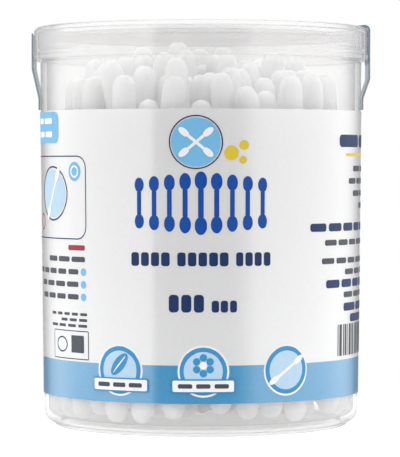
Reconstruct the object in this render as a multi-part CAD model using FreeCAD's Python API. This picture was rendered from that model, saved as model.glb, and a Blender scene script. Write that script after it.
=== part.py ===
"""Round clear tub of cotton swabs with a snap lid, a wrap-around label and two seal tapes.

The tub stands on its foot ring at z = 0 and its axis is the Z axis. The front of the label
faces -Y. The swabs stand loose in the tub: their places come from a small settling routine
that starts from the swabs that can be seen from the front and fills the rest of the floor.
"""

import FreeCAD
import Part

import itertools
import math
import os
import random

# Driving dimensions, in millimetres

# One swab
SWAB_LENGTH = 72.0
STICK_RADIUS = 1.2
TIP_RADIUS = 2.4
TIP_LENGTH = 14.5
TIP_CAP = 1.6  # cotton beyond the end of the stick
TIP_TAPER_RADIUS = 2.26  # where the tip starts to taper to the stick
TIP_TAPER_MIDDLE_RADIUS = 1.64
TIP_WAIST_RADIUS = 1.5  # where the cotton ends on the stick
TIP_TAPER_START = 0.68  # share of the tip's length, from its end
TIP_TAPER_MIDDLE = 0.87
STICK_GRIP_GAP = 0.03  # between the stick and the cotton wound on it

# Tub
SHOULDER_RADIUS = 34.5  # outside, just under the lid
WALL_FLARE = 0.8  # how much smaller the outside radius is at the bottom of the wall
WALL = 0.9
FLOOR = 1.0
FLOOR_UNDERSIDE = 1.2
BASE_CORNER = 2.2
INNER_CORNER = 1.6
FOOT_INSET = 2.3  # from the outside of the wall in to the outside of the foot ring
FOOT_WALL = 1.2
FOOT_HEIGHT = 0.7
FOOT_ROUNDING = 0.2
FOOT_HOLLOW_CORNER = 0.3  # where the inside of the foot ring meets the underside of the floor
NECK_STEP = 0.4  # from the shoulder in to the neck
SHOULDER_DROP = 6.65  # from the rim of the tub down to its shoulder
BEAD_HEIGHT = 0.9  # of each snap bead, along the axis
NECK_BEAD = 0.35  # how far the bead stands out from the neck
NECK_BEAD_DROP = 2.6  # from the rim of the tub down to the bead
BEAD_ROUNDING = 0.15
SHOULDER_ROUNDING = 0.1
RIM_ROUNDING = 0.25

# Lid
HEADROOM = 8.3  # from the top of an upright swab to the lid
LID_WALL = 0.9
LID_RECESS = 1.6  # how deep the middle of the lid lies below its rim
SKIRT_STANDOFF = 1.4  # from the shoulder out to the outside of the skirt
SKIRT_GAP = 0.5  # from the bottom of the skirt down to the shoulder
LIP = 0.25  # how far the bottom lip stands out from the skirt
LIP_HEIGHT = 0.9
LID_EDGE = 1.2  # rounding of the top outer edge
RECESS_EDGE = 0.5  # rounding of the top inner edge
RECESS_CORNER = 0.3
PLUG_EDGE = 0.4
CHANNEL_CORNER = 0.2  # of the channel for the tub's rim, at the plug
SKIRT_CORNER = 0.4  # of the same channel, at the skirt
SKIRT_ROUNDING = 0.15
LIP_ROUNDING = 0.2
LIP_TOP_ROUNDING = 0.1
PLUG_GAP = 0.15  # between the plug of the lid and the inside of the neck
SEAT_GAP = 0.05  # between the rim of the tub and the lid
BEAD_GAP = 0.1  # between the two snap beads when one passes the other
BEAD_SPACING = 1.3  # from the neck's bead down to the lid's bead

# Label
LABEL_BOTTOM = 7.0
LABEL_SHOULDER_GAP = 10.4  # from the label's top edge up to the shoulder
LABEL_THICKNESS = 0.12
LABEL_GAP = 0.05
LABEL_LAP = 5.0  # how far the label's end lies over its start, at the back

# Seal tapes
TAPE_WIDTH = 13.0
TAPE_THICKNESS = 0.15
TAPE_BULGE = 0.1  # how far a tape stands off the lip of the lid
TAPE_WALL_GAP = 0.3  # between a tape's tail and the shoulder it has to pass
TAPE_TAIL = 2.4  # length of the tail that lies along the tub's wall
TAPE_LABEL_GAP = 0.4  # from the label's top edge up to a tape's end
TAPE_TOP_GAP = 0.05  # between the tape and the top of the lid
TAPE_SLANT = 4.1  # height of the slanting stretch of the right tape
LEFT_TAPE_SLANT = 6.4
LEFT_TAPE_TOP_DROP = 1.4  # from the top of the lid down to the left tape's end
RIGHT_TAPE_LAP = 2.5  # how far the right tape reaches in over the lid
TAPE_BEND = 1.5  # radius of the bends down the side
TAPE_FOLD = 0.8  # radius of the fold over the lid's edge

# Settling of the swabs
FLOOR_FILL = 0.535  # share of the floor that the tips cover
FLOOR_REST_GAP = 0.1
CEILING_GAP = 0.1  # between the highest swab and the lid
SWAB_GAP = 0.12
SWABS_PER_NODE = 10
HEADS_SIDE_GAP = 4.0  # how much farther the heads keep off the wall at the left and right
LEAN_NOISE = 3.0
SETTLE_SEED = 3
SETTLE_PASSES = 1500
GROWING_PASSES = 150  # the swabs start thin and reach their full thickness after these
START_THICKNESS = 0.6
STRAIGHTEN_STEP = 0.015  # share of its lean that a crowded swab loses at once
PUSH_SHARE = 0.9  # share of an overlap that one push takes away
LOOK_ROUND_PASSES = 8  # passes from one search for neighbours to the next
NEAR = 12.0  # between the axes of swabs that count as neighbours

# The swabs that show from the front. Foot and head of each are given across and towards the
# back, as shares of the clear radius, and its lift off the floor as a share of the headroom.
SEEN_SWABS = (
    (-0.15, -0.34, -0.14, -0.40, 0.97),
    (-0.22, 0.10, -0.48, 0.00, 0.90),
    (-0.56, -0.82, -0.43, -0.80, 0.00),
    (-0.46, -0.46, -0.53, -0.26, 0.12),
    (-0.30, -0.20, -0.71, -0.26, 0.49),
    (-0.27, -0.60, -0.83, -0.46, 0.39),
    (-0.17, 0.05, -0.26, -0.10, 0.72),
    (-0.20, -0.75, -0.11, -0.66, 0.44),
    (-0.35, -0.93, -0.01, -0.80, 0.00),
    (0.07, 0.13, 0.02, 0.10, 0.81),
    (0.17, -0.46, 0.14, -0.56, 0.42),
    (0.21, -0.07, 0.20, -0.10, 0.86),
    (0.33, -0.30, 0.28, -0.30, 0.74),
    (0.77, -0.64, 0.25, -0.84, 0.00),
    (0.46, 0.66, 0.44, 0.60, 0.64),
    (0.26, 0.16, 0.59, 0.00, 0.80),
    (0.59, -0.80, 0.44, -0.80, 0.00),
    (0.50, -0.33, 0.66, -0.40, 0.00),
    (0.53, -0.53, 0.77, -0.46, 0.00),
    (0.40, 0.30, 0.84, -0.33, 0.00),
    (-0.11, -0.99, -0.23, -0.50, 0.12),
    (0.13, -0.99, 0.10, -0.30, 0.24),
    (0.35, -0.93, 0.40, -0.50, 0.10),
    (-0.12, -0.15, -0.28, -0.96, 0.00),
    (0.10, -0.15, 0.02, -0.99, 0.00),
    (0.30, -0.10, 0.41, -0.95, 0.00),
    (0.72, 0.05, 0.62, -0.82, 0.00),
    (-0.73, -0.66, -0.60, -0.60, 0.00),
    (-0.90, -0.43, -0.78, -0.26, 0.00),
)
SEEN_SWAB_EASE = 0.25  # how readily a seen swab gives way, against 1 for the others
EASE_GROWTH = 1.004  # a pass, once the swabs are at full thickness, so that all fit in the end

# Sizes that follow from them

FLOOR_TOP = FLOOR_UNDERSIDE + FLOOR
PLATE_UNDERSIDE = FLOOR_TOP + SWAB_LENGTH + HEADROOM
PLATE_TOP = PLATE_UNDERSIDE + LID_WALL
LID_TOP = PLATE_TOP + LID_RECESS
CHANNEL_TOP = LID_TOP - LID_WALL
RIM = CHANNEL_TOP - SEAT_GAP
SHOULDER = RIM - SHOULDER_DROP
SKIRT_BOTTOM = SHOULDER + SKIRT_GAP

BASE_RADIUS = SHOULDER_RADIUS - WALL_FLARE
FOOT_RADIUS = BASE_RADIUS - FOOT_INSET
FLOOR_RADIUS = BASE_RADIUS - WALL
NECK_RADIUS = SHOULDER_RADIUS - NECK_STEP
NECK_INSIDE = NECK_RADIUS - WALL
NECK_BEAD_RADIUS = NECK_RADIUS + NECK_BEAD
NECK_BEAD_MIDDLE = RIM - NECK_BEAD_DROP
PLUG_RADIUS = NECK_INSIDE - PLUG_GAP
RECESS_RADIUS = PLUG_RADIUS - LID_WALL
SKIRT_RADIUS = SHOULDER_RADIUS + SKIRT_STANDOFF
SKIRT_INSIDE = SKIRT_RADIUS - LID_WALL
LID_BEAD_RADIUS = NECK_BEAD_RADIUS + BEAD_GAP
LID_BEAD_MIDDLE = NECK_BEAD_MIDDLE - BEAD_SPACING
LIP_RADIUS = SKIRT_RADIUS + LIP

LABEL_TOP = SHOULDER - LABEL_SHOULDER_GAP

TAPE_REACH = LIP_RADIUS + TAPE_BULGE + TAPE_THICKNESS / 2
TAPE_TAIL_RADIUS = SHOULDER_RADIUS + TAPE_WALL_GAP + TAPE_THICKNESS / 2
TAPE_END = LABEL_TOP + TAPE_LABEL_GAP

SWAB_COUNT = round(FLOOR_FILL * (FLOOR_RADIUS / TIP_RADIUS) ** 2)
SWAB_SPAN = SWAB_LENGTH - 2 * TIP_RADIUS
FOOT_LEVEL = FLOOR_TOP + FLOOR_REST_GAP + TIP_RADIUS
FOOT_REACH = FLOOR_RADIUS - TIP_RADIUS - SWAB_GAP
HEAD_REACH = NECK_INSIDE - TIP_RADIUS - SWAB_GAP
HEAD_SIDE_REACH = HEAD_REACH - HEADS_SIDE_GAP
LIFT_RANGE = HEADROOM - FLOOR_REST_GAP - CEILING_GAP


def wall_radius(z):
    """Outside of the tub's wall at a height: it widens evenly from the base to the shoulder."""
    share = (z - FOOT_HEIGHT) / (SHOULDER - FOOT_HEIGHT)
    return BASE_RADIUS + share * (SHOULDER_RADIUS - BASE_RADIUS)


def rounded_outline(corners):
    """Closed face in the XZ plane through corners (radius, height, rounding)."""
    points = [FreeCAD.Vector(radius, 0, height) for radius, height, _ in corners]
    edges = []
    joints = []
    for index, (_, _, rounding) in enumerate(corners):
        corner = points[index]
        if rounding == 0:
            joints.append((corner, corner))
            continue
        back = (points[index - 1] - corner).normalize()
        ahead = (points[(index + 1) % len(points)] - corner).normalize()
        half_angle = back.getAngle(ahead) / 2
        start = corner + back * (rounding / math.tan(half_angle))
        end = corner + ahead * (rounding / math.tan(half_angle))
        inward = (back + ahead).normalize()
        middle = corner + inward * (rounding / math.sin(half_angle) - rounding)
        edges.append(Part.Arc(start, middle, end).toShape())
        joints.append((start, end))
    for index, (_, end) in enumerate(joints):
        start = joints[(index + 1) % len(joints)][0]
        edges.append(Part.makeLine(end, start))
    return Part.Face(Part.Wire(Part.__sortEdges__(edges)))


def turned(corners, angle=360.0, start_angle=0.0):
    """Solid of revolution about the Z axis, from start_angle over angle degrees."""
    axis = FreeCAD.Vector(0, 0, 1)
    face = rounded_outline(corners)
    face.rotate(FreeCAD.Vector(), axis, start_angle)
    return face.revolve(FreeCAD.Vector(), axis, angle)


def tub():
    """Moulded tub: foot ring, floor, flared wall, shoulder and neck with its snap bead."""
    foot_inside = FOOT_RADIUS - FOOT_WALL
    return turned(
        [
            (0, FLOOR_UNDERSIDE, 0),
            (foot_inside, FLOOR_UNDERSIDE, FOOT_HOLLOW_CORNER),
            (foot_inside, 0, FOOT_ROUNDING),
            (FOOT_RADIUS, 0, FOOT_ROUNDING),
            (FOOT_RADIUS, FOOT_HEIGHT, 0),
            (BASE_RADIUS, FOOT_HEIGHT, BASE_CORNER),
            (SHOULDER_RADIUS, SHOULDER, SHOULDER_ROUNDING),
            (NECK_RADIUS, SHOULDER + NECK_STEP, 0),
            (NECK_RADIUS, NECK_BEAD_MIDDLE - BEAD_HEIGHT / 2, 0),
            (NECK_BEAD_RADIUS, NECK_BEAD_MIDDLE, BEAD_ROUNDING),
            (NECK_RADIUS, NECK_BEAD_MIDDLE + BEAD_HEIGHT / 2, 0),
            (NECK_RADIUS, RIM, RIM_ROUNDING),
            (NECK_INSIDE, RIM, RIM_ROUNDING),
            (FLOOR_RADIUS, FLOOR_TOP, INNER_CORNER),
            (0, FLOOR_TOP, 0),
        ]
    )


def lid():
    """Snap lid: recessed plate, plug, hollow rim over the tub's rim, and skirt with its bead."""
    return turned(
        [
            (0, PLATE_UNDERSIDE, 0),
            (PLUG_RADIUS, PLATE_UNDERSIDE, PLUG_EDGE),
            (PLUG_RADIUS, CHANNEL_TOP, CHANNEL_CORNER),
            (SKIRT_INSIDE, CHANNEL_TOP, SKIRT_CORNER),
            (SKIRT_INSIDE, LID_BEAD_MIDDLE + BEAD_HEIGHT / 2, 0),
            (LID_BEAD_RADIUS, LID_BEAD_MIDDLE, BEAD_ROUNDING),
            (SKIRT_INSIDE, LID_BEAD_MIDDLE - BEAD_HEIGHT / 2, 0),
            (SKIRT_INSIDE, SKIRT_BOTTOM, SKIRT_ROUNDING),
            (LIP_RADIUS, SKIRT_BOTTOM, LIP_ROUNDING),
            (LIP_RADIUS, SKIRT_BOTTOM + LIP_HEIGHT, LIP_TOP_ROUNDING),
            (SKIRT_RADIUS, SKIRT_BOTTOM + LIP_HEIGHT + LIP, 0),
            (SKIRT_RADIUS, LID_TOP, LID_EDGE),
            (RECESS_RADIUS, LID_TOP, RECESS_EDGE),
            (RECESS_RADIUS, PLATE_TOP, RECESS_CORNER),
            (0, PLATE_TOP, 0),
        ]
    )


def label_layer(inner_gap, angle, start_angle):
    """One layer of label film that follows the flare of the wall."""
    bottom = wall_radius(LABEL_BOTTOM) + inner_gap
    top = wall_radius(LABEL_TOP) + inner_gap
    corners = [
        (bottom, LABEL_BOTTOM, 0),
        (bottom + LABEL_THICKNESS, LABEL_BOTTOM, 0),
        (top + LABEL_THICKNESS, LABEL_TOP, 0),
        (top, LABEL_TOP, 0),
    ]
    return turned(corners, angle, start_angle)


def label():
    """Film wrapped once round the tub, with its end glued down over its start at the back."""
    back = 90.0
    lap_angle = math.degrees(LABEL_LAP / wall_radius(LABEL_TOP))
    wrap = label_layer(LABEL_GAP, 360.0, back)
    lap = label_layer(LABEL_GAP + LABEL_THICKNESS, lap_angle, back - lap_angle / 2)
    return wrap.fuse(lap)


def tape_strip(path, side_angle):
    """Strip of tape bent along a path of (radius, height, rounding), centred on side_angle."""
    half = TAPE_THICKNESS / 2
    outer = []
    inner = []
    for index, (radius, height, rounding) in enumerate(path):
        before = path[max(index - 1, 0)]
        here = path[index]
        after = path[min(index + 1, len(path) - 1)]
        first = math.atan2(here[1] - before[1], here[0] - before[0])
        second = math.atan2(after[1] - here[1], after[0] - here[0])
        if index == 0:
            first = second
        if index == len(path) - 1:
            second = first
        bend = (second - first) / 2
        across = (first + second) / 2 + math.pi / 2
        reach = half / math.cos(bend)
        step_r = reach * math.cos(across)
        step_z = reach * math.sin(across)
        outside_rounding = rounding + half if rounding else 0
        inside_rounding = rounding - half if rounding else 0
        if bend > 0:
            outside_rounding, inside_rounding = inside_rounding, outside_rounding
        outer.append((radius + step_r, height + step_z, outside_rounding))
        inner.append((radius - step_r, height - step_z, inside_rounding))
    angle = math.degrees(TAPE_WIDTH / TAPE_REACH)
    return turned(outer + inner[::-1], angle, side_angle - angle / 2)


def seal_tape_left():
    """Tape from the side of the skirt down to the tub's wall; its upper end stands free."""
    slant_foot = TAPE_END + TAPE_TAIL
    path = [
        (TAPE_REACH, LID_TOP - LEFT_TAPE_TOP_DROP, 0),
        (TAPE_REACH, slant_foot + LEFT_TAPE_SLANT, TAPE_BEND),
        (TAPE_TAIL_RADIUS, slant_foot, TAPE_BEND),
        (TAPE_TAIL_RADIUS, TAPE_END, 0),
    ]
    return tape_strip(path, 180.0)


def seal_tape_right():
    """Tape that starts on top of the lid, folds over its edge and runs down to the wall."""
    slant_foot = TAPE_END + TAPE_TAIL
    on_top = LID_TOP + TAPE_TOP_GAP + TAPE_THICKNESS / 2
    crease = on_top + LIP
    path = [
        (SKIRT_RADIUS - RIGHT_TAPE_LAP, on_top, 0),
        (TAPE_REACH, crease, TAPE_FOLD),
        (TAPE_REACH, slant_foot + TAPE_SLANT, TAPE_BEND),
        (TAPE_TAIL_RADIUS, slant_foot, TAPE_BEND),
        (TAPE_TAIL_RADIUS, TAPE_END, 0),
    ]
    return tape_strip(path, 0.0)


class Swab:
    """A swab that stands in the tub, as the centres of its rounded foot and head.

    Heights here are counted from the centre of a foot that rests on the floor.
    """

    def __init__(self, foot_x, foot_y, head_x, head_y, lift, ease):
        self.ends = [foot_x, foot_y, head_x, head_y]
        self.lift = lift
        self.ease = ease

    def lean(self):
        """How far the head is from the foot, across and towards the back."""
        return self.ends[2] - self.ends[0], self.ends[3] - self.ends[1]

    def rise(self):
        """Height from the centre of the foot to the centre of the head."""
        across, back = self.lean()
        return math.sqrt(SWAB_SPAN**2 - across**2 - back**2)

    def update(self, thickness):
        """Works out the axis as a line over height, and the zones of even thickness on it."""
        across, back = self.lean()
        rise = self.rise()
        self.slope = (across / rise, back / rise)
        self.start = (self.ends[0] - self.slope[0] * self.lift, self.ends[1] - self.slope[1] * self.lift)
        tilt = SWAB_SPAN / rise
        bottom = self.lift - TIP_RADIUS
        top = self.lift + rise + TIP_RADIUS
        cotton = TIP_LENGTH / tilt
        tip = TIP_RADIUS * thickness * tilt
        stick = STICK_RADIUS * thickness * tilt
        self.zones = (
            (bottom, bottom + cotton, tip),
            (bottom + cotton, top - cotton, stick),
            (top - cotton, top, tip),
        )

    def keep_inside(self):
        """Brings a foot or head that left its room back to the edge of it."""
        for first, across, back in ((0, FOOT_REACH, FOOT_REACH), (2, HEAD_SIDE_REACH, HEAD_REACH)):
            share = math.hypot(self.ends[first] / across, self.ends[first + 1] / back)
            if share > 1.0:
                self.ends[first] /= share
                self.ends[first + 1] /= share

    def push(self, across, back, height):
        """Moves the axis at a height by a step in plan."""
        head_part = min(max((height - self.lift) / self.rise(), 0.0), 1.0)
        foot_part = 1.0 - head_part
        total = foot_part**2 + head_part**2
        self.ends[0] += across * foot_part / total
        self.ends[1] += back * foot_part / total
        self.ends[2] += across * head_part / total
        self.ends[3] += back * head_part / total

    def straighten(self, share):
        """Takes away a share of the lean."""
        across, back = self.lean()
        self.ends[2] -= across * share
        self.ends[3] -= back * share


def lean_like_the_seen(x, y):
    """Mean lean of the seen swabs, in which the nearest ones count most."""
    total = lean_x = lean_y = 0.0
    for foot_x, foot_y, head_x, head_y, _ in SEEN_SWABS:
        distance = math.hypot(x - foot_x * FOOT_REACH, y - foot_y * FOOT_REACH)
        weight = 1.0 / (TIP_RADIUS**2 + distance**2)
        total += weight
        lean_x += weight * (head_x * HEAD_REACH - foot_x * FOOT_REACH)
        lean_y += weight * (head_y * HEAD_REACH - foot_y * FOOT_REACH)
    return lean_x / total, lean_y / total


def first_places():
    """Seen swabs at their places, and the others spread evenly over what is left."""
    chance = random.Random(SETTLE_SEED)
    golden_angle = math.pi * (3 - math.sqrt(5))
    free = []
    for index in range(SWAB_COUNT):
        radius = FOOT_REACH * math.sqrt((index + 0.5) / SWAB_COUNT)
        angle = index * golden_angle
        free.append((radius * math.cos(angle), radius * math.sin(angle)))
    swabs = []
    for foot_x, foot_y, head_x, head_y, lift in SEEN_SWABS:
        x = foot_x * FOOT_REACH
        y = foot_y * FOOT_REACH
        free.remove(min(free, key=lambda place: math.hypot(place[0] - x, place[1] - y)))
        head = (head_x * HEAD_REACH, head_y * HEAD_REACH)
        swabs.append(Swab(x, y, *head, lift * LIFT_RANGE, SEEN_SWAB_EASE))
    for x, y in free:
        lean_x, lean_y = lean_like_the_seen(x, y)
        lean_x += chance.gauss(0, LEAN_NOISE)
        lean_y += chance.gauss(0, LEAN_NOISE)
        outward = math.hypot(x, y) / FOOT_REACH
        lift = chance.random() * LIFT_RANGE * (1 - outward**2)
        swabs.append(Swab(x, y, x + lean_x, y + lean_y, lift, 1.0))
    return swabs


def deepest_overlap(first, second):
    """Largest lack of room between two swabs, with its direction in plan and its height."""
    start_x = second.start[0] - first.start[0]
    start_y = second.start[1] - first.start[1]
    slope_x = second.slope[0] - first.slope[0]
    slope_y = second.slope[1] - first.slope[1]
    slope = slope_x**2 + slope_y**2
    nearest = -(start_x * slope_x + start_y * slope_y) / slope if slope else 0.0
    deepest = 0.0
    found = None
    for first_low, first_high, first_radius in first.zones:
        for second_low, second_high, second_radius in second.zones:
            low = max(first_low, second_low)
            high = min(first_high, second_high)
            if low >= high:
                continue
            height = min(max(nearest, low), high)
            across = start_x + slope_x * height
            back = start_y + slope_y * height
            distance = math.hypot(across, back)
            lack = first_radius + second_radius + SWAB_GAP - distance
            if lack > deepest:
                deepest = lack
                distance = max(distance, STICK_GRIP_GAP)
                found = (across / distance, back / distance, height)
    return deepest, found


def near_pairs(swabs):
    """Pairs of swabs whose feet, middles or heads are near each other in plan."""
    pairs = []
    for first, second in itertools.combinations(swabs, 2):
        foot_x, foot_y, head_x, head_y = (b - a for a, b in zip(first.ends, second.ends))
        middle = math.hypot(foot_x + head_x, foot_y + head_y) / 2
        if min(math.hypot(foot_x, foot_y), middle, math.hypot(head_x, head_y)) < NEAR:
            pairs.append((first, second))
    return pairs


def settle_once(pairs, thickness, straighten):
    """Pushes each overlapping pair apart, and takes a share of its lean from a crowded one.

    Returns the largest overlap that was met.
    """
    worst = 0.0
    for first, second in pairs:
        overlap, found = deepest_overlap(first, second)
        if found is None:
            continue
        worst = max(worst, overlap)
        across, back, height = found
        step = PUSH_SHARE * overlap / (first.ease + second.ease)
        first.push(-across * step * first.ease, -back * step * first.ease, height)
        second.push(across * step * second.ease, back * step * second.ease, height)
        for swab in (first, second):
            if straighten and overlap > 2 * SWAB_GAP:
                swab.straighten(straighten * swab.ease**2)
            swab.keep_inside()
            swab.update(thickness)
    return worst


def settled_swabs():
    """Swabs that stand clear of each other: crowded ones end up standing straighter."""
    swabs = first_places()
    for turn in range(SETTLE_PASSES):
        thickness = min(1.0, START_THICKNESS + (1 - START_THICKNESS) * turn / GROWING_PASSES)
        grown = thickness == 1.0
        looks_round = turn % LOOK_ROUND_PASSES == 0
        if looks_round:
            pairs = near_pairs(swabs)
        for swab in swabs:
            if grown:
                swab.ease = min(1.0, swab.ease * EASE_GROWTH)
            swab.keep_inside()
            swab.update(thickness)
        straighten = STRAIGHTEN_STEP if grown else 0.0
        worst = settle_once(pairs, thickness, straighten)
        if looks_round and grown and worst < SWAB_GAP / 3:
            break
    return swabs


def cotton_tip():
    """Cotton wound on the end of a stick: round end at the origin, stick bore from above."""
    bore = STICK_RADIUS + STICK_GRIP_GAP
    bore_end = TIP_CAP - STICK_GRIP_GAP
    taper_start = FreeCAD.Vector(TIP_TAPER_RADIUS, 0, TIP_TAPER_START * TIP_LENGTH)
    taper_middle = FreeCAD.Vector(TIP_TAPER_MIDDLE_RADIUS, 0, TIP_TAPER_MIDDLE * TIP_LENGTH)
    end_middle = FreeCAD.Vector(TIP_RADIUS * math.sqrt(0.5), 0, TIP_RADIUS * (1 - math.sqrt(0.5)))
    widest = FreeCAD.Vector(TIP_RADIUS, 0, TIP_RADIUS)
    waist = FreeCAD.Vector(TIP_WAIST_RADIUS, 0, TIP_LENGTH)
    bore_mouth = FreeCAD.Vector(bore, 0, TIP_LENGTH)
    bore_corner = FreeCAD.Vector(bore, 0, bore_end)
    bore_middle = FreeCAD.Vector(0, 0, bore_end)
    edges = [
        Part.Arc(FreeCAD.Vector(), end_middle, widest).toShape(),
        Part.makeLine(widest, taper_start),
        Part.Arc(taper_start, taper_middle, waist).toShape(),
        Part.makeLine(waist, bore_mouth),
        Part.makeLine(bore_mouth, bore_corner),
        Part.makeLine(bore_corner, bore_middle),
        Part.makeLine(bore_middle, FreeCAD.Vector()),
    ]
    face = Part.Face(Part.Wire(edges))
    return face.revolve(FreeCAD.Vector(), FreeCAD.Vector(0, 0, 1), 360)


def placed(shape, point, direction):
    """Copy of a shape with its origin at a point and its Z axis along a direction."""
    turn = FreeCAD.Rotation(FreeCAD.Vector(0, 0, 1), direction)
    copy = shape.copy()
    copy.Placement = FreeCAD.Placement(point, turn)
    return copy


def swab_pieces(swab, stick, tip):
    """Stick, upper tip and lower tip of one swab, in place."""
    foot_x, foot_y, head_x, head_y = swab.ends
    foot = FreeCAD.Vector(foot_x, foot_y, FOOT_LEVEL + swab.lift)
    head = FreeCAD.Vector(head_x, head_y, foot.z + swab.rise())
    up = (head - foot).normalize()
    bottom = foot - up * TIP_RADIUS
    top = head + up * TIP_RADIUS
    placed_stick = placed(stick, bottom + up * TIP_CAP, up)
    return placed_stick, placed(tip, top, -up), placed(tip, bottom, up)


def swab_nodes():
    """Sticks, upper tips and lower tips, in nodes of a few swabs each."""
    stick = Part.makeCylinder(STICK_RADIUS, SWAB_LENGTH - 2 * TIP_CAP)
    tip = cotton_tip()
    pieces = [swab_pieces(swab, stick, tip) for swab in settled_swabs()]
    nodes = {}
    for first in range(0, len(pieces), SWABS_PER_NODE):
        number = first // SWABS_PER_NODE + 1
        batch = pieces[first : first + SWABS_PER_NODE]
        sticks, upper_tips, lower_tips = zip(*batch)
        nodes[f"swab_sticks_{number:02d}"] = Part.makeCompound(sticks)
        nodes[f"upper_cotton_tips_{number:02d}"] = Part.makeCompound(upper_tips)
        nodes[f"lower_cotton_tips_{number:02d}"] = Part.makeCompound(lower_tips)
    return nodes


def main():
    os.makedirs("parts", exist_ok=True)
    nodes = {
        "tub": tub(),
        "lid": lid(),
        "label": label(),
        "seal_tape_left": seal_tape_left(),
        "seal_tape_right": seal_tape_right(),
    }
    nodes.update(swab_nodes())
    for name, shape in nodes.items():
        shape.exportStep(f"parts/{name}.step")


main()
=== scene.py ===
"""Look of the tub of cotton swabs.

The tub and its lid are clear moulded polypropylene, the label is a printed satin film, the seals
are strips of clear tape, and each swab is a white plastic stick with a wound cotton tip at each end.
The CAD solids keep their shape and get their materials here. The cotton tips are modelled again as
soft fluffy heads, and the print of the label is laid on its film as thin fields of ink.
Lengths are metres, apart from the print, which is laid out in millimetres.
"""

import math

import bpy
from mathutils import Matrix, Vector


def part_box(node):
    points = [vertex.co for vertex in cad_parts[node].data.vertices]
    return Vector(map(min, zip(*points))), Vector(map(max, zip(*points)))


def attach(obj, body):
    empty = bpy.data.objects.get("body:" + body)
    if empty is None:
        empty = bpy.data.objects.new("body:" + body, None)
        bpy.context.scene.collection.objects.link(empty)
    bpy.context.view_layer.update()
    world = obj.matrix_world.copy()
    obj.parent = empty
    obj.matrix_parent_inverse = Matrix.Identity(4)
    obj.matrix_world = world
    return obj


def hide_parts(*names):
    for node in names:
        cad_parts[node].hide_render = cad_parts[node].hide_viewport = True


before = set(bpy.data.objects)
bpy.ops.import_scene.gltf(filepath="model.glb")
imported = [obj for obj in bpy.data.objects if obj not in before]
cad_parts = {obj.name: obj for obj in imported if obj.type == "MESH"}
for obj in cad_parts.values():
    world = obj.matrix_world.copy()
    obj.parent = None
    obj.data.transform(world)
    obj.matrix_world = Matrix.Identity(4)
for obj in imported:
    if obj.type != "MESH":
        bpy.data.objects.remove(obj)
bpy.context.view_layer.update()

# The photograph's camera

CAMERA_DISTANCE = 0.570
CAMERA_HEIGHT = 0.0555
CAMERA_PITCH = math.radians(1.37)
CAMERA_LENS = 208.3
CAMERA_SENSOR = 36.0
CAMERA_SHIFT = -0.00197  # the tub's axis lies a pixel right of the frame's middle

# Light: the room is grey, with a tall white panel on each side of the camera and a dim gap between them

ROOM_LIGHT = 0.72
PANEL_LIGHT = 2.2
GAP_LIGHT = 0.06
CORNER_LIGHT = 0.3
LEFT_PANEL = (29.0, 37.0, 115.0, 150.0)  # degrees to the left of the camera: starts, is full, fades, ends
RIGHT_PANEL = (18.0, 44.0, 115.0, 150.0)  # the same to the right
PANEL_HEIGHT = (0.28, 0.42)  # sine of the angle above or below the horizon: fades, ends
GAP_HEIGHT = (0.22, 0.4)
CORNER = (135.0, 155.0)  # to either side: dark between the panel and the white backdrop
BACKDROP = (164.0, 170.0)
TOP_LIGHT = (0.4, 0.8, 2.0)  # the ceiling: sine where it starts, where it is full, and how bright it is
BACKGROUND = 1.0
TABLE_RADIUS = 0.08  # a small table, so that the label mirrors the dim gap and not the table
FLOOR_SHADOW_NEAR = 0.036  # the table turns into the white background from here
FLOOR_SHADOW_FAR = 0.07
FLOOR_LIFT = 0.85  # what the table under the tub adds to what falls on it, as seen by the camera

# Parts of the tub that the print and the tips are fitted to

MM = 0.001
RIGHT_ANGLE = math.pi / 2
RIM_ZONE = (0.0295, 0.031)  # m from the axis: flat plates are inside it, and rims and walls outside
FOOT_MILK_TOP = 9.0  # mm, height at which the wall of the tub is as clear as above
LABEL_RADIUS = 34.2  # mm, of the film's outside at half its height
STICK_INSET = 1.6  # mm, cotton beyond the end of the stick

# Patterns of the materials: width of one feature, mm

MOULDING_WAVE = 11.1
TAPE_CREASE = 4.55
FILM_GRAIN = 0.667
FILM_SWELL = 16.7
INK_GRAIN = 1.11
COTTON_STRAND = 0.714
STICK_LINE = 0.667

# Clear plastic, from straight ahead to aslant

HAZE_POWER = 3.0  # of the slant, for the haze that thickens towards the edges
SCHLICK_POWER = 5.0
MIRROR_AHEAD = 0.02
MIRROR_ASLANT = 0.6

# Light paths: a ray passes several clear walls and many thin pieces

BOUNCES = 24
CLEAR_WALLS = 128

# Settings of nodes that are used more than once

TIMES = {"operation": "MULTIPLY"}
POWER = {"operation": "POWER"}
SMOOTH = {"interpolation_type": "SMOOTHSTEP"}
COLOURS = {"data_type": "RGBA"}


def linear(hex_colour):
    """Linear colour, with alpha, of an sRGB hex value."""
    channels = []
    for start in (1, 3, 5):
        value = int(hex_colour[start : start + 2], 16) / 255
        channels.append(value / 12.92 if value <= 0.04045 else ((value + 0.055) / 1.055) ** 2.4)
    return (*channels, 1.0)


def add_node(tree, kind, settings=None, inputs=None):
    """Adds a node. An input is a value, or the output socket that it is linked to."""
    made = tree.nodes.new(kind)
    for name, value in (settings or {}).items():
        setattr(made, name, value)
    for name, value in (inputs or {}).items():
        if isinstance(value, bpy.types.NodeSocket):
            tree.links.new(value, made.inputs[name])
        else:
            made.inputs[name].default_value = value
    return made


def new_material(name):
    """Empty node material with its output node."""
    material = bpy.data.materials.new(name)
    material.use_nodes = True
    material.node_tree.nodes.clear()
    output = material.node_tree.nodes.new("ShaderNodeOutputMaterial")
    return material, material.node_tree, output


def per_metre(width):
    """Scale of a pattern whose features are this many millimetres wide."""
    return 1 / (width * MM)


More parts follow.
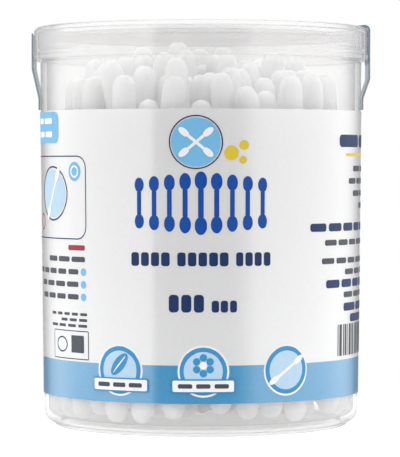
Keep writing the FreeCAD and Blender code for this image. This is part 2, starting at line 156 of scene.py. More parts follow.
def see_through(tree, output, haze_shader, haze, edge_haze, painted_edge_shade, roughness, normal):
    """Thin clear plastic: what is behind it, veiled by its haze, under a Fresnel reflection, with painted
    shade: a grey line along its rims where they are seen aslant.
    """
    facing = add_node(tree, "ShaderNodeLayerWeight", None, {"Blend": 0.5})
    slant = add_node(tree, "ShaderNodeMath", POWER, {0: facing.outputs["Facing"], 1: HAZE_POWER})
    cover = add_node(
        tree,
        "ShaderNodeMapRange",
        None,
        {"Value": slant.outputs["Value"], "To Min": haze, "To Max": edge_haze},
    )
    # Schlick's formula, the same from both sides of a thin wall
    steep = add_node(tree, "ShaderNodeMath", POWER, {0: facing.outputs["Facing"], 1: SCHLICK_POWER})
    # painted shade: a grey tint, strongest where a rim or curved wall is seen aslant, draws a grey line
    # round its rim in place of the dark edges that refraction shows
    place = add_node(tree, "ShaderNodeTexCoord")
    flat = add_node(tree, "ShaderNodeVectorMath", TIMES, {0: place.outputs["Object"], 1: (1, 1, 0)})
    radius = add_node(tree, "ShaderNodeVectorMath", {"operation": "LENGTH"}, {0: flat.outputs["Vector"]})
    at_rim = add_node(
        tree,
        "ShaderNodeMapRange",
        SMOOTH,
        {"Value": radius.outputs["Value"], "From Min": RIM_ZONE[0], "From Max": RIM_ZONE[1]},
    )
    rim_shade = add_node(
        tree, "ShaderNodeMath", TIMES, {0: steep.outputs["Value"], 1: at_rim.outputs["Result"]}
    )
    tint = add_node(
        tree,
        "ShaderNodeMix",
        COLOURS,
        {"Factor": rim_shade.outputs["Value"], "A": linear("#fdfdfd"), "B": linear(painted_edge_shade)},
    )
    behind = add_node(tree, "ShaderNodeBsdfTransparent", None, {"Color": tint.outputs["Result"]})
    body = add_node(
        tree,
        "ShaderNodeMixShader",
        None,
        {"Fac": cover.outputs["Result"], 1: behind.outputs["BSDF"], 2: haze_shader.outputs["BSDF"]},
    )
    mirror = add_node(
        tree,
        "ShaderNodeMapRange",
        None,
        {"Value": steep.outputs["Value"], "To Min": MIRROR_AHEAD, "To Max": MIRROR_ASLANT},
    )
    shine = add_node(tree, "ShaderNodeBsdfGlossy", None, {"Roughness": roughness, "Normal": normal})
    surface = add_node(
        tree,
        "ShaderNodeMixShader",
        None,
        {"Fac": mirror.outputs["Result"], 1: body.outputs["Shader"], 2: shine.outputs["BSDF"]},
    )
    tree.links.new(surface.outputs["Shader"], output.inputs["Surface"])


def clear_polypropylene(name, haze, foot_haze):
    """Injection-moulded clear polypropylene: faintly milky, more so at its edges and its thick foot."""
    material, tree, output = new_material(name)
    place = add_node(tree, "ShaderNodeTexCoord")
    parts = add_node(tree, "ShaderNodeSeparateXYZ", None, {"Vector": place.outputs["Object"]})
    milkiness = add_node(
        tree,
        "ShaderNodeMapRange",
        None,
        {
            "Value": parts.outputs["Z"],
            "From Min": 0.0,
            "From Max": FOOT_MILK_TOP * MM,
            "To Min": foot_haze,
            "To Max": haze,
        },
    )
    waves = add_node(
        tree,
        "ShaderNodeTexNoise",
        None,
        {"Vector": place.outputs["Object"], "Scale": per_metre(MOULDING_WAVE), "Detail": 2.0},
    )
    relief = add_node(
        tree,
        "ShaderNodeBump",
        None,
        {"Strength": 0.25, "Distance": 0.3 * MM, "Height": waves.outputs["Fac"]},
    )
    roughness = add_node(
        tree,
        "ShaderNodeMapRange",
        None,
        {"Value": waves.outputs["Fac"], "To Min": 0.06, "To Max": 0.16},
    )
    milk = add_node(
        tree,
        "ShaderNodeMix",
        COLOURS,
        {"Factor": waves.outputs["Fac"], "A": linear("#efedec"), "B": linear("#f7f5f4")},
    )
    veil = add_node(
        tree,
        "ShaderNodeBsdfPrincipled",
        None,
        {
            "Base Color": milk.outputs["Result"],
            "Roughness": 0.6,
            "IOR": 1.49,
            "Specular IOR Level": 0.0,
        },
    )
    see_through(
        tree,
        output,
        haze_shader=veil,
        haze=milkiness.outputs["Result"],
        edge_haze=0.35,
        # painted shade: the grey of the line drawn round the rims of the tub and lid
        painted_edge_shade="#bcbec0",
        roughness=roughness.outputs["Result"],
        normal=relief.outputs["Normal"],
    )
    return material


def tape_film(name, stuck_haze):
    """Clear polypropylene tape: glossy, lightly creased, its bluish glue showing where it is stuck."""
    material, tree, output = new_material(name)
    place = add_node(tree, "ShaderNodeTexCoord")
    parts = add_node(tree, "ShaderNodeSeparateXYZ", None, {"Vector": place.outputs["Object"]})
    creases = add_node(
        tree,
        "ShaderNodeTexNoise",
        None,
        {"Vector": place.outputs["Object"], "Scale": per_metre(TAPE_CREASE), "Detail": 3.0},
    )
    relief = add_node(
        tree,
        "ShaderNodeBump",
        None,
        {"Strength": 0.4, "Distance": 0.3 * MM, "Height": creases.outputs["Fac"]},
    )
    roughness = add_node(
        tree,
        "ShaderNodeMapRange",
        None,
        {"Value": creases.outputs["Fac"], "To Min": 0.05, "To Max": 0.2},
    )
    glue = add_node(
        tree,
        "ShaderNodeMix",
        COLOURS,
        {"Factor": creases.outputs["Fac"], "A": linear("#3d6c90"), "B": linear("#5f8caf")},
    )
    veil = add_node(
        tree,
        "ShaderNodeBsdfPrincipled",
        None,
        {
            "Base Color": glue.outputs["Result"],
            "Roughness": 0.5,
            "IOR": 1.49,
            "Specular IOR Level": 0.0,
        },
    )
    # the tape is free between the lid and the label, and stuck above and below
    lid_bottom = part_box("lid")[0][2]
    label_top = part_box("label")[1][2]
    middle = (lid_bottom + label_top) / 2
    reach = (lid_bottom - label_top) / 2
    below = add_node(
        tree, "ShaderNodeMath", {"operation": "SUBTRACT"}, {0: parts.outputs["Z"], 1: middle}
    )
    away = add_node(tree, "ShaderNodeMath", {"operation": "ABSOLUTE"}, {0: below.outputs["Value"]})
    haze = add_node(
        tree,
        "ShaderNodeMapRange",
        SMOOTH,
        {
            "Value": away.outputs["Value"],
            "From Min": reach * 0.8,
            "From Max": reach,
            "To Min": 0.02,
            "To Max": stuck_haze,
        },
    )
    see_through(
        tree,
        output,
        haze_shader=veil,
        haze=haze.outputs["Result"],
        edge_haze=0.1,
        # painted shade: the blue-grey of the line drawn along the edges of the tape
        painted_edge_shade="#8fa0ac",
        roughness=roughness.outputs["Result"],
        normal=relief.outputs["Normal"],
    )
    return material


def label_film():
    """Satin polypropylene label film, printed white with a blue band along its lower edge."""
    material, tree, output = new_material("label_film")
    place = add_node(tree, "ShaderNodeTexCoord")
    parts = add_node(tree, "ShaderNodeSeparateXYZ", None, {"Vector": place.outputs["Object"]})
    in_band = add_node(
        tree, "ShaderNodeMath", {"operation": "LESS_THAN"}, {0: parts.outputs["Z"], 1: BAND_TOP * MM}
    )
    mottle = add_node(
        tree,
        "ShaderNodeTexNoise",
        None,
        {"Vector": place.outputs["Object"], "Scale": per_metre(FILM_GRAIN), "Detail": 3.0},
    )
    white = add_node(
        tree,
        "ShaderNodeMix",
        COLOURS,
        {"Factor": mottle.outputs["Fac"], "A": linear("#e6e6e6"), "B": linear("#ececec")},
    )
    blue = add_node(
        tree,
        "ShaderNodeMix",
        COLOURS,
        {"Factor": mottle.outputs["Fac"], "A": linear("#4b9dca"), "B": linear("#56a7d2")},
    )
    colour = add_node(
        tree,
        "ShaderNodeMix",
        COLOURS,
        {"Factor": in_band.outputs["Value"], "A": white.outputs["Result"], "B": blue.outputs["Result"]},
    )
    swell = add_node(
        tree,
        "ShaderNodeTexNoise",
        None,
        {"Vector": place.outputs["Object"], "Scale": per_metre(FILM_SWELL), "Detail": 1.0},
    )
    relief = add_node(
        tree,
        "ShaderNodeBump",
        None,
        {"Strength": 0.1, "Distance": 0.3 * MM, "Height": swell.outputs["Fac"]},
    )
    shader = add_node(
        tree,
        "ShaderNodeBsdfPrincipled",
        None,
        {
            "Base Color": colour.outputs["Result"],
            "Roughness": 0.25,
            "IOR": 1.5,
            "Coat Weight": 1.0,
            "Coat Roughness": 0.07,
            "Coat IOR": 1.7,
            "Normal": relief.outputs["Normal"],
        },
    )
    # thin white film lets some of the light through to the swabs
    through = add_node(tree, "ShaderNodeBsdfTranslucent", None, {"Color": colour.outputs["Result"]})
    film = add_node(
        tree,
        "ShaderNodeMixShader",
        None,
        {"Fac": 0.3, 1: shader.outputs["BSDF"], 2: through.outputs["BSDF"]},
    )
    tree.links.new(film.outputs["Shader"], output.inputs["Surface"])
    return material


def printing_ink(name, dark, light):
    """Offset ink on satin film: even, with a faint mottle from the film's grain."""
    material, tree, output = new_material(name)
    place = add_node(tree, "ShaderNodeTexCoord")
    mottle = add_node(
        tree,
        "ShaderNodeTexNoise",
        None,
        {"Vector": place.outputs["Object"], "Scale": per_metre(INK_GRAIN), "Detail": 4.0},
    )
    colour = add_node(
        tree,
        "ShaderNodeMix",
        COLOURS,
        {"Factor": mottle.outputs["Fac"], "A": linear(dark), "B": linear(light)},
    )
    shader = add_node(
        tree,
        "ShaderNodeBsdfPrincipled",
        None,
        {
            "Base Color": colour.outputs["Result"],
            "Roughness": 0.5,
            "IOR": 1.5,
            "Specular IOR Level": 0.2,
        },
    )
    tree.links.new(shader.outputs["BSDF"], output.inputs["Surface"])
    return material


def wound_cotton():
    """Bleached cotton wool wound on the stick: matt, with fine fibres round the tip."""
    material, tree, output = new_material("cotton_wool")
    place = add_node(tree, "ShaderNodeTexCoord")
    # the fibres are 0.02 mm thick, and are drawn as strands of about 0.3 mm, so that they show
    strands = add_node(
        tree, "ShaderNodeMapping", None, {"Vector": place.outputs["Object"], "Scale": (1.0, 1.0, 2.2)}
    )
    fibres = add_node(
        tree,
        "ShaderNodeTexNoise",
        None,
        {"Vector": strands.outputs["Vector"], "Scale": per_metre(COTTON_STRAND), "Detail": 5.0},
    )
    relief = add_node(
        tree,
        "ShaderNodeBump",
        None,
        {"Strength": 0.6, "Distance": 0.2 * MM, "Height": fibres.outputs["Fac"]},
    )
    colour = add_node(
        tree,
        "ShaderNodeMix",
        COLOURS,
        {"Factor": fibres.outputs["Fac"], "A": linear("#f8f8f8"), "B": linear("#ffffff")},
    )
    shader = add_node(
        tree,
        "ShaderNodeBsdfPrincipled",
        None,
        {
            "Base Color": colour.outputs["Result"],
            "Roughness": 0.95,
            "Specular IOR Level": 0.2,
            "Sheen Weight": 0.3,
            "Normal": relief.outputs["Normal"],
        },
    )
    # cotton wool is loose, and lets light through from one side to the other
    through = add_node(tree, "ShaderNodeBsdfTranslucent", None, {"Color": colour.outputs["Result"]})
    wool = add_node(
        tree,
        "ShaderNodeMixShader",
        None,
        {"Fac": 0.5, 1: shader.outputs["BSDF"], 2: through.outputs["BSDF"]},
    )
    tree.links.new(wool.outputs["Shader"], output.inputs["Surface"])
    return material


def stick_plastic():
    """Extruded white polypropylene stick: satin, with faint lines along it."""
    material, tree, output = new_material("stick_polypropylene")
    place = add_node(tree, "ShaderNodeTexCoord")
    along = add_node(
        tree, "ShaderNodeMapping", None, {"Vector": place.outputs["Object"], "Scale": (1.0, 1.0, 0.05)}
    )
    lines = add_node(
        tree,
        "ShaderNodeTexNoise",
        None,
        {"Vector": along.outputs["Vector"], "Scale": per_metre(STICK_LINE), "Detail": 2.0},
    )
    colour = add_node(
        tree,
        "ShaderNodeMix",
        COLOURS,
        {"Factor": lines.outputs["Fac"], "A": linear("#f6f6f6"), "B": linear("#fcfcfc")},
    )
    shader = add_node(
        tree,
        "ShaderNodeBsdfPrincipled",
        None,
        {"Base Color": colour.outputs["Result"], "Roughness": 0.4, "IOR": 1.49},
    )
    tree.links.new(shader.outputs["BSDF"], output.inputs["Surface"])
    return material


def deselect_all():
    if bpy.context.object and bpy.context.object.mode != "OBJECT":
        bpy.ops.object.mode_set(mode="OBJECT")
    bpy.ops.object.select_all(action="DESELECT")


def joined(pieces, name):
    """Joins pieces into one object at the origin."""
    deselect_all()
    for piece in pieces:
        piece.select_set(True)
    bpy.context.view_layer.objects.active = pieces[0]
    if len(pieces) > 1:
        bpy.ops.object.join()
    piece = bpy.context.object
    piece.name = name
    piece.data.name = name
    bpy.ops.object.transform_apply(location=True, rotation=True, scale=True)
    return piece


# The print, in millimetres: along the label from its front middle, and up from the table

BAND_TOP = 14.8
STRIP = 1.5  # width of the strips that a flat field is cut in, so that it bends round the tub
INK_LIFT = 0.03  # between the film and the first layer of ink
INK_STEP = 0.03  # between one layer and the next
BLOCK_ROUNDING = 0.35  # corners of a short bar of print, as a share of its smaller side

# Picture of a swab, as shares of its length

PICTURE_STICK = 0.62
PICTURE_STICK_WIDTH = 0.08
PICTURE_TIP = 0.2  # half the length of a tip
PICTURE_TIP_SQUEEZE = 0.45  # width of a tip against its length

# Middles of the signs and marks, and the radii that several fields share

SIGN = (-1.0, 60.2)
SIGN_RADIUS = 5.0
SIGN_SWAB = 6.4
SIGN_TURN = math.radians(40)
HEADING_HEIGHT = 47.8
HEADING_SWABS = 9
HEADING_SPACING = 3.2
HEADING_SWAB = 9.2  # length of the middle one, and how much shorter each next one is
HEADING_SHORTER = 0.45
BAND_SIGNS = (-17.5, 0.5, 18.5)
BAND_SIGN_HEIGHT = 13.6
MOTIF_HEIGHT = 14.8  # the leaf and the flower stand above their ribbons
RIBBON_HEIGHT = 10.6
LEAF_TURN = math.radians(-50)
DRAWING = (-38.5, 49.6)
RING_MARK = (-29.6, 54.2)
CERTIFICATE_BOX = 18.2
BAR_STRIPES = 22
STRIPE_WIDTHS = (0.35, 0.7, 0.5, 1.0)
STRIPE_GAPS = (0.4, 0.7, 0.3)


def flat_bars(bars, rounding):
    """Flat bars (from, to, height, depth) with rounded corners, on the plane y = 0."""
    pieces = []
    for start, end, height, depth in bars:
        deselect_all()
        middle = ((start + end) / 2 * MM, 0, height * MM)
        bpy.ops.mesh.primitive_plane_add(size=1, location=middle, rotation=(RIGHT_ANGLE, 0, 0))
        bar = bpy.context.object
        bar.scale = ((end - start) * MM, depth * MM, 1)
        pieces.append(bar)
    bars_piece = joined(pieces, "bars")
    if rounding:
        bpy.ops.object.mode_set(mode="EDIT")
        bpy.ops.mesh.select_all(action="SELECT")
        bpy.ops.mesh.bevel(affect="VERTICES", offset=rounding * MM, segments=4)
        bpy.ops.object.mode_set(mode="OBJECT")
    return bars_piece


def flat_disc(along, height, radius, squeeze=1.0, turn=0.0):
    """Flat disc, or ellipse with its height squeezed, turned by an angle in its plane."""
    deselect_all()
    bpy.ops.mesh.primitive_circle_add(
        vertices=40,
        radius=radius * MM,
        fill_type="NGON",
        location=(along * MM, 0, height * MM),
        rotation=(RIGHT_ANGLE, 0, 0),
    )
    disc = bpy.context.object
    disc.scale = (1, squeeze, 1)
    disc.rotation_euler = (RIGHT_ANGLE, turn, 0)
    return disc


def hollowed(piece, line):
    """Leaves only a line of even width along the edge of a flat field."""
    piece = joined([piece], "outline")
    bpy.ops.object.mode_set(mode="EDIT")
    bpy.ops.mesh.select_all(action="SELECT")
    bpy.ops.mesh.inset(thickness=line * MM)
    bpy.ops.mesh.delete(type="FACE")
    bpy.ops.object.mode_set(mode="OBJECT")
    return piece


def flat_swab(along, height, length, turn, fatness=1.0):
    """Flat picture of a swab: a stick with a rounded tip at each end."""
    deselect_all()
    bpy.ops.mesh.primitive_plane_add(
        size=1, location=(along * MM, 0, height * MM), rotation=(RIGHT_ANGLE, turn, 0)
    )
    stick = bpy.context.object
    stick.scale = (length * PICTURE_STICK * MM, length * PICTURE_STICK_WIDTH * fatness * MM, 1)
    step_x = math.cos(turn) * length / 2
    step_z = -math.sin(turn) * length / 2
    tip = length * PICTURE_TIP
    squeeze = PICTURE_TIP_SQUEEZE * fatness
    tips = [
        flat_disc(along + side * step_x, height + side * step_z, tip, squeeze, turn) for side in (-1, 1)
    ]
    return joined([stick] + tips, "swab_picture")


def print_field(name, shapes, ink, layer):
    """Lays flat shapes round the label as one layer of ink."""
    field = joined(shapes, name)
    half = max(abs(vertex.co.x) for vertex in field.data.vertices)
    bpy.ops.object.mode_set(mode="EDIT")
    cut = -math.floor(half / (STRIP * MM)) * STRIP * MM
    while cut < half:
        bpy.ops.mesh.select_all(action="SELECT")
        bpy.ops.mesh.bisect(plane_co=(cut, 0, 0), plane_no=(1, 0, 0))
        cut += STRIP * MM
    bpy.ops.object.mode_set(mode="OBJECT")
    for vertex in field.data.vertices:
        angle = vertex.co.x / (LABEL_RADIUS * MM)
        reach = (LABEL_RADIUS + 1.0) * MM
        vertex.co = (reach * math.sin(angle), -reach * math.cos(angle), vertex.co.z)
    fit = field.modifiers.new("fit", "SHRINKWRAP")
    fit.target = bpy.data.objects["label"]
    fit.wrap_method = "NEAREST_SURFACEPOINT"
    fit.wrap_mode = "ABOVE_SURFACE"
    fit.offset = (INK_LIFT + layer * INK_STEP) * MM
    bpy.ops.object.modifier_apply(modifier="fit")
    bpy.ops.object.shade_smooth()
    field.data.materials.clear()
    field.data.materials.append(ink)
    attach(field, "tub")
    return field


def stick_ends(node):
    """Lower and upper end of each stick in a node, from its mesh."""
    mesh = bpy.data.objects[node].data
    neighbours = {}
    for edge in mesh.edges:
        a, b = (tuple(round(c, 6) for c in mesh.vertices[i].co) for i in edge.vertices)
        neighbours.setdefault(a, set()).add(b)
        neighbours.setdefault(b, set()).add(a)
    seen = set()
    ends = []
    for start in neighbours:
        if start in seen:
            continue
        island = []
        waiting = [start]
        seen.add(start)
        while waiting:
            point = waiting.pop()
            island.append(Vector(point))
            for other in neighbours[point] - seen:
                seen.add(other)
                waiting.append(other)
        middle = (min(p.z for p in island) + max(p.z for p in island)) / 2
        low = [p for p in island if p.z < middle]
        high = [p for p in island if p.z > middle]
        ends.append((sum(low, Vector()) / len(low), sum(high, Vector()) / len(high)))
    return ends


def build_camera():
    camera = bpy.data.objects.new("camera", bpy.data.cameras.new("camera"))
    bpy.context.scene.collection.objects.link(camera)
    camera.location = (0, -CAMERA_DISTANCE, CAMERA_HEIGHT)
    camera.rotation_euler = (RIGHT_ANGLE - CAMERA_PITCH, 0, 0)
    camera.data.sensor_width = CAMERA_SENSOR
    camera.data.lens = CAMERA_LENS
    camera.data.shift_x = CAMERA_SHIFT
    camera.data.clip_start = 0.01
    camera.data.clip_end = 20
    bpy.context.scene.camera = camera


def seen_directly(tree):
    """1 for a ray that shows the background, from the camera or through clear plastic."""
    path = add_node(tree, "ShaderNodeLightPath")
    return add_node(
        tree,
        "ShaderNodeMath",
        {"operation": "MAXIMUM"},
        {0: path.outputs["Is Camera Ray"], 1: path.outputs["Is Transmission Ray"]},
    ).outputs["Value"]


def build_world():
    """Grey room with a white panel on each side, a dim gap behind the camera and a pale ceiling."""
    world = bpy.data.worlds.new("studio")
    bpy.context.scene.world = world
    world.use_nodes = True
    tree = world.node_tree
    tree.nodes.clear()
    output = tree.nodes.new("ShaderNodeOutputWorld")
    direction = add_node(tree, "ShaderNodeTexCoord")
    parts = add_node(tree, "ShaderNodeSeparateXYZ", None, {"Vector": direction.outputs["Generated"]})
    up = parts.outputs["Z"]
    level = add_node(tree, "ShaderNodeMath", {"operation": "ABSOLUTE"}, {0: up}).outputs["Value"]
    # angles from the camera's side of the tub, in degrees
    front = add_node(tree, "ShaderNodeMath", TIMES, {0: parts.outputs["Y"], 1: -1.0})
    azimuth = add_node(
        tree,
        "ShaderNodeMath",
        {"operation": "ARCTAN2"},
        {0: parts.outputs["X"], 1: front.outputs["Value"]},
    )
    right = add_node(
        tree, "ShaderNodeMath", TIMES, {0: azimuth.outputs["Value"], 1: math.degrees(1)}
    ).outputs["Value"]
    left = add_node(tree, "ShaderNodeMath", TIMES, {0: right, 1: -1.0}).outputs["Value"]
    aside = add_node(tree, "ShaderNodeMath", {"operation": "ABSOLUTE"}, {0: right}).outputs["Value"]
    # each mask is a product of smooth steps: value, where it starts and ends, low and high
    masks = {
        "left panel": (
            (left, *LEFT_PANEL[:2], 0, 1),
            (left, *LEFT_PANEL[2:], 1, 0),
            (level, *PANEL_HEIGHT, 1, 0),
        ),
        "right panel": (
            (right, *RIGHT_PANEL[:2], 0, 1),
            (right, *RIGHT_PANEL[2:], 1, 0),
            (level, *PANEL_HEIGHT, 1, 0),
        ),
        "gap": (
            (left, *LEFT_PANEL[:2], 1, 0),
            (right, *RIGHT_PANEL[:2], 1, 0),
            (level, *GAP_HEIGHT, 1, 0),
        ),
    }
    for name, steps in masks.items():
        mask = 1.0
        for value, start, end, low, high in steps:
            step = add_node(
                tree,
                "ShaderNodeMapRange",
                SMOOTH,
                {"Value": value, "From Min": start, "From Max": end, "To Min": low, "To Max": high},
            )
            mask = add_node(
                tree, "ShaderNodeMath", TIMES, {0: mask, 1: step.outputs["Result"]}
            ).outputs["Value"]
        masks[name] = mask
    # the bare room: its walls, dim corners, the white backdrop and the ceiling
    walls = ROOM_LIGHT
    changes = ((aside, *CORNER, CORNER_LIGHT), (aside, *BACKDROP, BACKGROUND), (up, *TOP_LIGHT))
    for value, start, end, light in changes:
        walls = add_node(
            tree,
            "ShaderNodeMapRange",
            SMOOTH,
            {"Value": value, "From Min": start, "From Max": end, "To Min": walls, "To Max": light},
        ).outputs["Result"]
    panels = add_node(
        tree, "ShaderNodeMath", {"operation": "ADD"}, {0: masks["left panel"], 1: masks["right panel"]}
    )
    lit = add_node(
        tree,
        "ShaderNodeMix",
        {"data_type": "FLOAT"},
        {"Factor": panels.outputs["Value"], "A": walls, "B": PANEL_LIGHT},
    )
    room = add_node(
        tree,
        "ShaderNodeMix",
        {"data_type": "FLOAT"},
        {"Factor": masks["gap"], "A": lit.outputs["Result"], "B": GAP_LIGHT},
    )
    strength = add_node(
        tree,
        "ShaderNodeMapRange",
        None,
        {"Value": seen_directly(tree), "To Min": room.outputs["Result"], "To Max": BACKGROUND},
    )
    light = add_node(
        tree,
        "ShaderNodeBackground",
        None,
        {"Color": (1.0, 1.0, 1.0, 1.0), "Strength": strength.outputs["Result"]},
    )
    tree.links.new(light.outputs["Background"], output.inputs["Surface"])


def build_floor():
    """White table that keeps a faint shadow under the tub."""
    deselect_all()
    bpy.ops.mesh.primitive_circle_add(vertices=96, radius=TABLE_RADIUS, fill_type="NGON")
    floor = bpy.context.object
    floor.name = "floor"
    material, tree, output = new_material("white_table")
    surface = add_node(tree, "ShaderNodeBsdfDiffuse", None, {"Color": linear("#f4f4f4")})
    place = add_node(tree, "ShaderNodeTexCoord")
    away = add_node(
        tree, "ShaderNodeVectorMath", {"operation": "LENGTH"}, {0: place.outputs["Object"]}
    )
    whiter = add_node(
        tree,
        "ShaderNodeMapRange",
        None,
        {
            "Value": away.outputs["Value"],
            "From Min": FLOOR_SHADOW_NEAR,
            "From Max": FLOOR_SHADOW_FAR,
            "To Min": FLOOR_LIFT,
            "To Max": 1.0,
        },
    )
    glow = add_node(
        tree, "ShaderNodeMath", TIMES, {0: seen_directly(tree), 1: whiter.outputs["Result"]}
    )
    lift = add_node(
        tree,
        "ShaderNodeEmission",
        None,
        {"Color": (1.0, 1.0, 1.0, 1.0), "Strength": glow.outputs["Value"]},
    )
    both = add_node(
        tree, "ShaderNodeAddShader", None, {0: surface.outputs["BSDF"], 1: lift.outputs["Emission"]}
    )
    tree.links.new(both.outputs["Shader"], output.inputs["Surface"])
    floor.data.materials.append(material)


def dress(node, material):
    """Gives a CAD node its material."""
    mesh = bpy.data.objects[node].data
    mesh.materials.clear()
    mesh.materials.append(material)


def cotton_tip():
    """One wound tip at the origin, its round end down: about 70 faces, as it is repeated often."""
    deselect_all()
    # radius and height of each ring, mm, from the round end to the stick
    rings = [(0.9, 0.25), (1.75, 0.9), (2.4, 2.4), (2.45, 6.0), (2.3, 9.8), (1.85, 12.6), (1.4, 14.5)]
    bpy.ops.mesh.primitive_circle_add(vertices=12, radius=rings[0][0] * MM, fill_type="NGON")
    tip = bpy.context.object
    tip.name = "cotton_tip"
    bpy.ops.object.mode_set(mode="EDIT")
    bpy.ops.mesh.select_all(action="SELECT")
    bpy.ops.transform.translate(value=(0, 0, rings[0][1] * MM))
    bpy.ops.mesh.flip_normals()
    for below, here in zip(rings, rings[1:]):
        rise = (here[1] - below[1]) * MM
        bpy.ops.mesh.extrude_region_move(TRANSFORM_OT_translate={"value": (0, 0, rise)})
        grow = here[0] / below[0]
        bpy.ops.transform.resize(value=(grow, grow, 1), center_override=(0, 0, here[1] * MM))
    bpy.ops.object.mode_set(mode="OBJECT")
    bpy.ops.object.shade_smooth()
    return tip


def cotton_heads(name, node, places, tip, cotton):
    """Copies of the tip at each place (end of the cotton, direction of the stick)."""
    copies = []
    for end, direction in places:
        copy = bpy.data.objects.new(name, tip.data.copy())
        bpy.context.scene.collection.objects.link(copy)
        copy.location = end
        copy.rotation_mode = "QUATERNION"
        copy.rotation_quaternion = direction.to_track_quat("Z", "Y")
        copies.append(copy)
    heads = joined(copies, name)
    heads.data.materials.clear()
    heads.data.materials.append(cotton)
    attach(heads, "tub")
    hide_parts(node)


def build_swabs():
    """Sticks in white plastic, with a soft head at each end in place of the CAD's."""
    cotton = wound_cotton()
    stick = stick_plastic()
    tip = cotton_tip()
    for node in [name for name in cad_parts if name.startswith("swab_sticks_")]:
        number = node[-2:]
        dress(node, stick)
        lower = []
        upper = []
        for low, high in stick_ends(node):
            up = (high - low).normalized()
            lower.append((low - up * STICK_INSET * MM, up))
            upper.append((high + up * STICK_INSET * MM, -up))
        cotton_heads(f"upper_cotton_heads_{number}", f"upper_cotton_tips_{number}", upper, tip, cotton)
        cotton_heads(f"lower_cotton_heads_{number}", f"lower_cotton_tips_{number}", lower, tip, cotton)
    bpy.data.objects.remove(tip)


def text_rows(rows, depth, gap=0.8):
    """Lines of print as rows of short bars: each row is (from, to, height, number of bars)."""
    bars = []
    for start, end, height, count in rows:
        length = (end - start - gap * (count - 1)) / count
        for number in range(count):
            begin = start + number * (length + gap)
            bars.append((begin, begin + length, height, depth))
    return flat_bars(bars, min(depth, length) * BLOCK_ROUNDING)


def flat_flower(along, height, reach, petals):
    """Flat flower: round petals about its middle."""
    petal_radius = reach * 0.32
    ring = reach * 0.66
    shapes = []
    for petal in range(petals):
        turn = 2 * math.pi * petal / petals
        x = along + ring * math.sin(turn)
        z = height + ring * math.cos(turn)
        shapes.append(flat_disc(x, z, petal_radius))
    return shapes


def print_front(ink):
    """Front of the label: a round sign, a heading of upright swabs, and name and count as blocks."""
    print_field("sign_print", [flat_disc(*SIGN, SIGN_RADIUS)], ink["light_blue"], 0)
    swabs = [flat_swab(*SIGN, SIGN_SWAB, SIGN_TURN, 1.2)]
    print_field("sign_swab_print", swabs, ink["white"], 1)
    swabs = [flat_swab(*SIGN, SIGN_SWAB, -SIGN_TURN, 1.2)]
    print_field("sign_crossed_swab_print", swabs, ink["white"], 2)
    print_field("sign_edge_print", [hollowed(flat_disc(*SIGN, SIGN_RADIUS + 0.5), 0.25)], ink["navy"], 1)
    dots = [flat_disc(6.2, 58.0, 1.5), flat_disc(8.8, 59.6, 1.0), flat_disc(8.6, 56.6, 0.8)]
    print_field("dots_print", dots, ink["yellow"], 0)
    heading = []
    for number in range(HEADING_SWABS):
        place = number - HEADING_SWABS // 2
        length = HEADING_SWAB - HEADING_SHORTER * abs(place)
        heading.append(flat_swab(place * HEADING_SPACING, HEADING_HEIGHT, length, RIGHT_ANGLE, 1.5))
    print_field("heading_print", heading, ink["dark_blue"], 0)
    name = [
        text_rows([(-14.6, -6.4, 36.4, 4), (-4.8, 5.6, 36.4, 5), (7.2, 14.6, 36.4, 4)], 2.8, 0.45),
        text_rows([(-6.6, 0.6, 27.4, 3)], 3.6, 0.5),
        text_rows([(2.2, 7.4, 26.8, 3)], 2.4, 0.4),
    ]
    print_field("name_print", name, ink["navy"], 0)


def print_band_signs(ink):
    """Three round signs on the blue band: a leaf, a flower and a swab, the first two with ribbons."""
    left, middle, right = BAND_SIGNS
    fields = (
        ("band_sign_edges", 5.3, "white"),
        ("band_signs", 4.9, "mid_blue"),
        ("band_sign_middles", 4.0, "pale_blue"),
    )
    for layer, (name, radius, colour) in enumerate(fields):
        discs = [flat_disc(along, BAND_SIGN_HEIGHT, radius) for along in BAND_SIGNS]
        print_field(name, discs, ink[colour], layer)
    leaf = flat_disc(left, MOTIF_HEIGHT, 2.8, 0.45, LEAF_TURN)
    flower = flat_flower(middle, MOTIF_HEIGHT, 2.4, 6)
    print_field("leaf_and_flower", [leaf] + flower, ink["mid_blue"], 3)
    swab = flat_swab(right, BAND_SIGN_HEIGHT, 7.0, math.radians(-35))
    print_field("swab_on_sign", [swab], ink["white"], 3)
    rib = flat_disc(left, MOTIF_HEIGHT, 2.4, 0.06, LEAF_TURN)
    print_field("rib_and_flower_middle", [rib, flat_disc(middle, MOTIF_HEIGHT, 0.8)], ink["white"], 4)
    ribbons = (left, middle)
    edges = [(along - 6.6, along + 6.6, RIBBON_HEIGHT, 2.9) for along in ribbons]
    print_field("ribbon_edges", [flat_bars(edges, 0.4)], ink["mid_blue"], 5)
    bands = [(along - 6.3, along + 6.3, RIBBON_HEIGHT, 2.3) for along in ribbons]
    print_field("ribbons", [flat_bars(bands, 0.3)], ink["white"], 6)
    rows = [(along - 5.2, along + 5.2, RIBBON_HEIGHT, 3) for along in ribbons]
    print_field("ribbon_rows", [text_rows(rows, 0.9)], ink["grey"], 7)


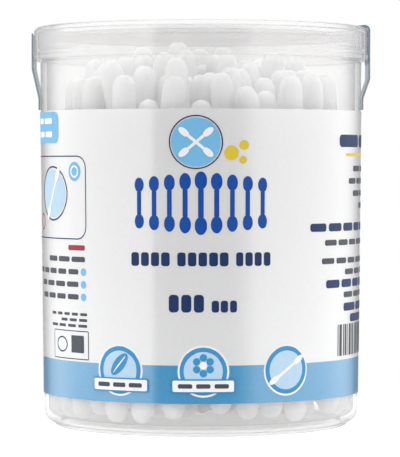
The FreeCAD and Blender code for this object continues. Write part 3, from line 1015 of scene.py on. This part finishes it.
def print_left_side(ink):
    """Left of the label: a blue field, a framed drawing of a swab, lines of print and a small box."""
    print_field("corner_field", [flat_bars([(-60, -35.5, 63.4, 6.6)], 1.6)], ink["light_blue"], 0)
    corner_rows = [(-55, -38.5, 64.8, 3), (-53, -38.5, 62.0, 3)]
    print_field("corner_rows", [text_rows(corner_rows, 1.2)], ink["white"], 1)
    frames = [hollowed(flat_bars([(-66, -26.0, 48.8, 17.4)], 2.6), 0.25)]
    frames.append(hollowed(flat_bars([(-38.5, -25.5, CERTIFICATE_BOX, 6.0)], 0.3), 0.2))
    frames.append(hollowed(flat_disc(-34.8, CERTIFICATE_BOX, 2.2, 0.75), 0.3))
    frames.append(hollowed(flat_disc(*DRAWING, 6.4, 0.9), 0.35))
    print_field("frames", frames, ink["navy"], 0)
    print_field("drawing_field", [flat_disc(*DRAWING, 5.6, 0.9)], ink["pale_blue"], 0)
    print_field("drawing_swab", [flat_swab(*DRAWING, 9.0, math.radians(-60))], ink["white"], 1)
    marks = [flat_disc(*RING_MARK, 2.0)]
    marks += [flat_disc(-27.0, height, 0.8) for height in (33.4, 30.8, 28.2)]
    print_field("blue_marks", marks, ink["light_blue"], 0)
    print_field("ring_mark", [hollowed(flat_disc(*RING_MARK, 1.3), 0.4)], ink["white"], 1)
    red = [hollowed(flat_disc(-46.0, 43.6, 1.8), 0.3), text_rows([(-32.0, -26.5, 38.4, 1)], 1.1)]
    print_field("red_marks", red, ink["red"], 0)
    rows = [(-41, -26.5, 36.0, 3), (-49, -28.6, 33.4, 5), (-47, -28.6, 30.8, 4), (-46, -28.6, 28.2, 4)]
    small_rows = [(-39.5, -26, 24.6, 5), (-35, -26, 23.4, 3), (-39.5, -26, 22.2, 4)]
    box = flat_bars([(-31.2, -27.0, 18.4, 3.6)], 0.2)
    print_field("left_rows", [text_rows(rows, 1.1), text_rows(small_rows, 0.6), box], ink["grey"], 0)


def print_right_side(ink):
    """Right of the label: lines of print, a yellow rule and a field of upright stripes."""
    print_field("right_heading", [text_rows([(34, 56, 60.6, 2)], 2.6)], ink["navy"], 0)
    print_field("right_rule", [flat_bars([(37, 57, 57.7, 0.6)], 0)], ink["yellow"], 0)
    rows = [(41, 58, 54.8, 3), (38.5, 58, 52.2, 4), (41, 58, 49.6, 3), (46, 58, 47.0, 2)]
    rows += [(29.0, 58, 39.4, 6), (28.0, 58, 35.6, 6), (37, 58, 33.2, 4), (36.5, 58, 28.4, 4)]
    print_field("right_rows", [text_rows(rows, 1.2)], ink["grey"], 0)
    bold_rows = [(24.5, 58, 42.6, 6), (29.5, 58, 30.8, 5), (36.5, 58, 25.8, 3), (40.0, 58, 23.4, 2)]
    print_field("right_bold_rows", [text_rows(bold_rows, 1.7)], ink["navy"], 0)
    stripes = []
    along = 34.0
    for number in range(BAR_STRIPES):
        width = STRIPE_WIDTHS[number * 3 % len(STRIPE_WIDTHS)]
        stripes.append((along, along + width, 18.9, 6.6))
        along += width + STRIPE_GAPS[number % len(STRIPE_GAPS)]
    print_field("stripes", [flat_bars(stripes, 0)], ink["grey"], 0)


def build_print():
    """The print of the label in its nine inks."""
    ink = {
        "dark_blue": printing_ink("dark_blue_ink", "#0a3f8d", "#124a9b"),
        "navy": printing_ink("navy_ink", "#14294f", "#1c3460"),
        "mid_blue": printing_ink("mid_blue_ink", "#3580b1", "#418bbb"),
        "light_blue": printing_ink("light_blue_ink", "#68a7cf", "#74b1d7"),
        "pale_blue": printing_ink("pale_blue_ink", "#a5c1d6", "#b1cbde"),
        "white": printing_ink("white_ink", "#dedede", "#e6e6e6"),
        "yellow": printing_ink("yellow_ink", "#c7ad2e", "#d2ba3e"),
        "red": printing_ink("red_ink", "#8c2436", "#9a3044"),
        "grey": printing_ink("grey_ink", "#3d4048", "#4a4d56"),
    }
    print_front(ink)
    print_band_signs(ink)
    print_left_side(ink)
    print_right_side(ink)


build_camera()
build_world()
build_floor()

dress("tub", clear_polypropylene("tub_polypropylene", haze=0.05, foot_haze=0.32))
dress("lid", clear_polypropylene("lid_polypropylene", haze=0.09, foot_haze=0.09))
dress("label", label_film())
dress("seal_tape_left", tape_film("clear_tape", stuck_haze=0.1))
dress("seal_tape_right", tape_film("tinted_tape", stuck_haze=0.6))
build_swabs()
build_print()

scene = bpy.context.scene
scene.view_settings.view_transform = "Standard"
scene.cycles.max_bounces = BOUNCES
scene.cycles.diffuse_bounces = BOUNCES
scene.cycles.transmission_bounces = BOUNCES
scene.cycles.transparent_max_bounces = CLEAR_WALLS
